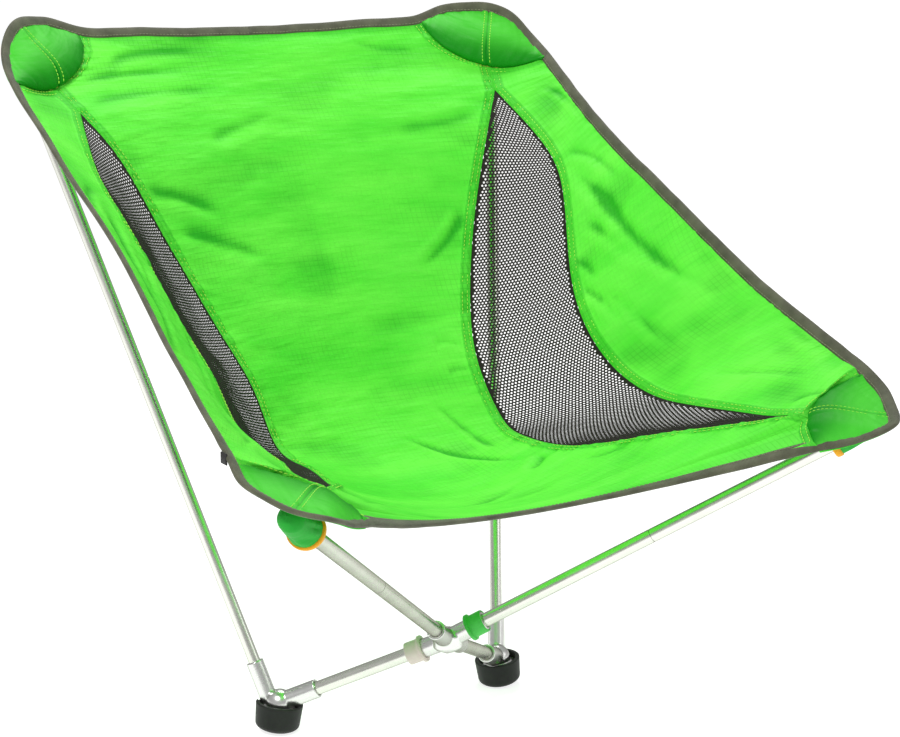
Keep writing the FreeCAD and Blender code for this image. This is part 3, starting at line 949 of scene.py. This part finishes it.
def cloth_slope(centre):
    """The tape's two axes along its loop: into the cloth, and away from the sitter."""
    starts = ("sling_centre", "wing_panel_cloth")
    sewn = [obj for obj in bpy.data.objects if obj.name.startswith(starts)]
    panels = [v.co for obj in sewn for v in obj.data.vertices]
    i, t = np.meshgrid(np.linspace(0, SEAM_END, 60), np.linspace(0, 1, 20))
    bases = np.concatenate([dome_base(corner, i.ravel(), t.ravel()) for corner in CORNERS])
    cloth = np.concatenate([np.array(panels) * 1000, bases, mirror(bases, -1)])
    ahead = unit(np.roll(centre, -1, 0) - np.roll(centre, 1, 0))
    inward = -towards_rim(centre)
    for row, point in enumerate(centre):
        offset = cloth - point
        reach = lengths(offset)
        near = offset[(reach > 7) & (reach < 17)]
        if len(near):
            inward[row] = near.mean(0)
    inward = unit(inward - (inward * ahead).sum(1, keepdims=True) * ahead)
    for _ in range(24):
        inward = unit(np.roll(inward, -1, 0) + inward * 2 + np.roll(inward, 1, 0))
    up = unit(np.cross(ahead, inward))
    return inward, up * np.sign((up * outward(centre)).sum(1, keepdims=True))


def edge_tape():
    """One folded tape round the whole sling."""
    right = evenly(tape_line(np.linspace(TAPE_START, TAPE_END, 3000)), 3.0)
    centre = np.concatenate([right, mirror(right[-2:0:-1], -1)])
    wobble = wander(centre, 24, 31)[:, None] * 0.7
    inward, up = cloth_slope(centre)
    centre = centre + inward * wobble
    section = [(10.4, -0.8), (7.5, -1.5), (4.0, -1.6), (1.2, -1.4), (0.0, -0.7), (-0.5, 0.5),
               (0.0, 1.6), (1.2, 2.3), (4.0, 2.6), (7.5, 2.5), (10.4, 1.8), (10.5, 1.3), (10.5, 0.0)]
    tape = sweep("edge_tape_loop", centre, inward, up, section, True)
    dress(tape, "edge_tape", "tape", *("edge_tape_" + part for part in ("top", "front", *SIDES)))
    line = centre + inward * 8.6 + up * -1.35
    stitch_rows("edge_tape_stitches", [line], "edge_tape", "tape_stitch", pitch=3.6)


def threads(centre, tangent, length, radius):
    """Points and faces of short rounded threads that dip into the cloth at both ends."""
    ring = np.array([(math.cos(a), math.sin(a)) for a in np.linspace(0, 2 * math.pi, 7)[:-1]])
    shape = [(-0.5, 0.25, -0.55), (-0.36, 0.8, 0.0), (0.0, 1.0, 0.25), (0.36, 0.8, 0.0),
             (0.5, 0.25, -0.55)]
    up = -outward(centre)
    across = unit(np.cross(tangent, up))
    rings = []
    for place, size, lift in shape:
        middle = centre + tangent * (place * length) + up * (lift * radius)
        rings.append(rings_round(middle, across, up, ring * (radius * size)))
    points = np.stack(rings, 1).reshape(-1, 3)
    one = grid_faces(len(shape), 6, closed=True) + [tuple(range(5, -1, -1)), tuple(range(24, 30))]
    faces = [tuple(k + 30 * n for k in face) for n in range(len(centre)) for face in one]
    return points, faces


def stitch_rows(name, lines, slot_name, look, pitch=STITCH_PITCH, length=STITCH_LENGTH):
    """Rows of stitches along lines that lie on the cloth."""
    centres, tangents = [], []
    for line in lines:
        run = run_lengths(line)
        stations = np.arange(pitch / 2, run[-1] - pitch / 4, pitch)
        centres.append(read_along(stations, run, line))
        ahead, behind = read_along(stations + 1, run, line), read_along(stations - 1, run, line)
        tangents.append(unit(ahead - behind))
    points, faces = threads(np.concatenate(centres), np.concatenate(tangents), length, STITCH_R)
    dress(add_object(make_mesh(name, points, faces)), slot_name, look)


def seam_lines():
    """Two lines beside each seam on the right: on the centre panel, on the wing, at its ends."""
    v = np.linspace(FIRST_V, LAST_V, 900)
    edge, middle = centre_edge(v), middle_line(v + REAR_ROWS)
    slope = 2 * (edge - middle)
    slope[:, 0] = edge[:, 0]
    full = lengths(slope)
    lines = [centre_surface(v, 1 - offset / full) for offset in STITCH_ROWS]
    v = np.linspace(-0.7, LAST + 0.7, 700)
    span = lengths(wing_surface(v, v * 0 + 1) - wing_surface(v, v * 0))
    lines += [wing_surface(v, offset / span) for offset in STITCH_ROWS]
    s = np.linspace(0.02, 0.98, 120)
    for end, start in ((-1, 0), (LAST + 1, LAST)):
        depth = lengths(wing_surface(s * 0 + end, s) - wing_surface(s * 0 + start, s))
        lines += [wing_surface(end - (end - start) * offset / depth, s) for offset in STITCH_ROWS]
    return lines


def seam_stitches(name, side):
    """The stitches beside the panels' seams, and beside the seam down each dome's middle."""
    lines = [mirror(line - outward(line) * 0.6, side) for line in seam_lines()]
    stitch_rows("seam_stitches_" + name, lines, "ripstop_cloth", "stitch")
    t = np.linspace(0.06, 0.98, 60)
    lines = [dome_surface(corner, SEAM_HALF + shift + t * 0, t)
             for corner in CORNERS for shift in (-0.14, 0.14)]
    lines = [mirror(line - outward(line), side) for line in lines]
    stitch_rows("dome_stitches_" + name, lines, "patch_cloth", "stitch", pitch=3.6, length=2.7)


def bartacks(name, side):
    """A dense bar of thread where each dome seam meets the mesh panel's seams."""
    centres, tangents = [], []
    for seam in (rear_seam, front_seam):
        knots = SEAM_HALF + np.linspace(-0.42, 0.42, 22)
        centre = seam(knots)
        along = unit(seam(knots + 0.02) - seam(knots - 0.02))
        centres.append(centre - outward(centre) * 1.0)
        tangents.append(unit(np.cross(along, outward(centre)) + along * 0.5))
    centres, tangents = (mirror(np.concatenate(rows), side) for rows in (centres, tangents))
    points, faces = threads(centres, tangents, 3.2, 0.55)
    dress(add_object(make_mesh("bartacks_" + name, points, faces)), "ripstop_cloth", "bartack")


# ---- pockets and tab

def pocket_profile(corner, side):
    """Radius and height of a pocket's rings, from its domed end down to its mouth."""
    turns = np.linspace(0.06, math.pi / 2, 10)
    cap = [(POCKET_RADIUS * math.sin(a), POCKET_RADIUS * math.cos(a)) for a in turns]
    mouth_radius = 13.2 if corner == "front" and side < 0 else 10.6
    shares = np.linspace(0, 1, 20)[1:]
    return cap + [(lerp(POCKET_RADIUS, mouth_radius, t), -POCKET_DEPTH * t) for t in shares]


def pocket(corner, name, side):
    """A gathered cup of cloth over a pole's tip, and the bound rim of its mouth."""
    tip, root = (mirror(np.array(end, float), side) for end in POLES[corner])
    axis = unit(tip - root)
    side_axis = unit(np.cross(axis, [0, 0, 1.0]))
    other = np.cross(axis, side_axis)
    turn = np.linspace(0, 2 * math.pi, 97)[:-1]
    spokes = side_axis * np.cos(turn)[:, None] + other * np.sin(turn)[:, None]
    rings = []
    for radius, height in pocket_profile(corner, side):
        depth = np.clip(-height / POCKET_DEPTH, 0, 1)
        gathers = np.sin(turn * 9 + 2 * np.sin(turn * 2 + side) + height * 0.12)
        gathers += 0.5 * np.sin(turn * 5 + height * 0.3)
        r = radius + gathers * 0.8 * depth * smooth((1 - depth) / 0.35)
        r -= 0.5 * math.sin(math.pi * depth) ** 2
        rings.append(tip + axis * height + spokes * r[:, None])
    rings = np.array(rings)
    rows, count = rings.shape[:2]
    flat = np.stack([np.tile(turn * 12, rows), np.repeat(run_lengths(rings[:, 0]), count)], -1)
    faces = grid_faces(rows, count, closed=True) + [tuple(range(count))[::-1]]
    title = corner + "_" + name
    cup = add_object(make_mesh("pole_pocket_cloth_" + title, rings.reshape(-1, 3), faces, flat))
    thicken(cup, CLOTH, -1.0)
    dress(cup, "patch_cloth", "pocket", "pole_pocket_" + title)
    loop = np.concatenate([rings[-1], rings[-1, :1]])
    radial = unit(loop - (tip - axis * POCKET_DEPTH))
    section = [(-1.7, 1.4), (-1.7, -2.2), (-1.0, -3.4), (0.3, -3.7),
               (1.6, -3.0), (2.0, -1.2), (1.9, 1.8), (0.5, 2.6)]
    axes = np.tile(axis, (len(loop), 1))
    rim = sweep("pocket_rim_band_" + title, loop, radial, axes, section, False)
    dress(rim, "rim_tape", "rim", "pocket_rim_" + title)


def edge_tab():
    """A short loop of webbing sewn under the left side tape."""
    low, high = (np.array(corner) * 1000 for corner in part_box("edge_tab"))
    tape = mirror(tape_line(np.linspace(0, LAST, 600)), -1)
    middle = tape[np.abs(tape[:, 1] - (low[1] + high[1]) / 2).argmin()] - (1.2, 0, 0)
    reach = (high[2] - low[2]) * 0.8
    turns = np.linspace(0, math.pi, 9)
    bend = [(-0.35 * math.cos(a), -reach + 1 - math.sin(a) * 0.6) for a in turns]
    path = [(-0.35, 0.0), *bend, (0.35, 0.0)]
    across = np.linspace(low[1], high[1], 7)
    points = [(middle[0] + x, y, middle[2] + z) for x, z in path for y in across]
    flat = [(y, z + x * 10) for x, z in path for y in across]
    obj = add_object(make_mesh("edge_tab_loop", points, grid_faces(len(path), len(across)), flat))
    thicken(obj, 0.5)
    dress(obj, "tab_webbing", "tab", "edge_tab")


# ---- frame parts

def softened(node, body, slot_name, look, voxel, rounds):
    """A copy of a cast or moulded CAD part with small fillets on every edge."""
    obj = frame["nodes"][node].copy()
    obj.data = obj.data.copy()
    obj.name = node + "_finished"
    bpy.context.scene.collection.objects.link(obj)
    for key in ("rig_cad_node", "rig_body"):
        if key in obj:
            del obj[key]
    remesh = obj.modifiers.new("remesh", "REMESH")
    remesh.mode = "VOXEL"
    remesh.voxel_size = voxel * 0.001
    rounder = obj.modifiers.new("round", "SMOOTH")
    rounder.factor = 0.5
    rounder.iterations = rounds
    graph = bpy.context.evaluated_depsgraph_get()
    finished = bpy.data.meshes.new_from_object(obj.evaluated_get(graph))
    obj.modifiers.clear()
    obj.data = finished
    finished.shade_smooth()
    dress(obj, slot_name, look, node, body=body)


def frame_parts():
    """Gives the tubes, tips and cords their materials, and finishes the castings and mouldings."""
    bare = {"_pole_": "pole", "ferrule": "pole", "_tip_": "plastic", "shock_cord": "cord"}
    for node, obj in frame["nodes"].items():
        look = next((look for part, look in bare.items() if part in node), None)
        if look:
            obj.data.materials.clear()
            obj.data.materials.append(LOOKS[look])
            obj.data.shade_smooth()
            obj.data.set_sharp_from_angle(angle=math.radians(35))
    # the front right collar's green is a painted reflection of the sling
    hub = {"hub_body": "cast", "collar_leg_left": "leg_collar", "collar_front_right": "collar_painted_reflection"}
    for node, look in hub.items():
        softened(node, "hub", "cast_aluminium", look, 0.55, 6)
    for name in SIDES:
        softened("foot_joint_" + name, "leg_" + name, "cast_aluminium", "cast", 0.6, 7)
        softened("foot_boot_" + name, "leg_" + name, "boot_rubber", "rubber", 0.6, 8)


# ---- scene

def camera():
    """The viewpoint: in front of the chair, to the left, a little above its back."""
    azimuth, pitch = math.radians(-30.86), math.radians(12.46)
    data = bpy.data.cameras.new("camera")
    data.lens = 88.0
    data.sensor_width = 36.0
    obj = add_object(data)
    obj.location = (-0.948, -1.643, 0.751)
    level = math.cos(pitch)
    ahead = Vector((-math.sin(azimuth) * level, math.cos(azimuth) * level, -math.sin(pitch)))
    obj.rotation_euler = ahead.to_track_quat("-Z", "Y").to_euler()
    bpy.context.scene.camera = obj


def area_light(name, place, target, size, power):
    """A round soft light aimed at a point."""
    data = bpy.data.lights.new(name, "AREA")
    data.shape = "DISK"
    data.size = size
    data.energy = power
    obj = add_object(data)
    obj.location = place
    obj.rotation_euler = (Vector(target) - Vector(place)).to_track_quat("-Z", "Y").to_euler()


def studio():
    """A pale floor to the horizon, a pale world and three soft lights."""
    mesh = bpy.data.meshes.new("floor")
    size = 60.0
    corners = [(-size, -size, 0), (size, -size, 0), (size, size, 0), (-size, size, 0)]
    mesh.from_pydata(corners, [], [(0, 1, 2, 3)])
    floor = add_object(mesh)
    look = Look("floor_paper", Roughness=0.9, Specular_IOR_Level=0.1, Emission_Strength=0.8,
                Emission_Color=(1, 1, 1, 1))
    patches = look.noise(look.place(), 3.0)
    tone = look.ramp(patches, (0.3, (0.54, 0.545, 0.54)), (0.7, (0.56, 0.565, 0.56)))
    floor.data.materials.append(look.wire(Base_Color=tone))
    world = bpy.data.worlds.new("studio")
    world.use_nodes = True
    background = world.node_tree.nodes["Background"].inputs
    background["Color"].default_value = (1, 1, 1, 1)
    background["Strength"].default_value = 0.42
    bpy.context.scene.world = world
    area_light("key", (-1.5, -0.9, 2.2), (0, 0, 0.35), 0.6, 38)
    area_light("top", (0.7, 1.1, 2.3), (0, 0, 0.3), 0.8, 22)
    area_light("fill", (1.8, -1.6, 1.2), (0, 0, 0.3), 1.4, 6)
    bpy.context.scene.view_settings.view_transform = "Standard"


camera()
studio()
centre_panel()
for side_name, side_sign in SIDES.items():
    wing_panel(side_name, side_sign)
    net_panel(side_name, side_sign)
    seam_stitches(side_name, side_sign)
    bartacks(side_name, side_sign)
    for corner_name in CORNERS:
        corner_dome(corner_name, side_name, side_sign)
        pocket(corner_name, side_name, side_sign)
edge_tape()
edge_tab()
frame_parts()
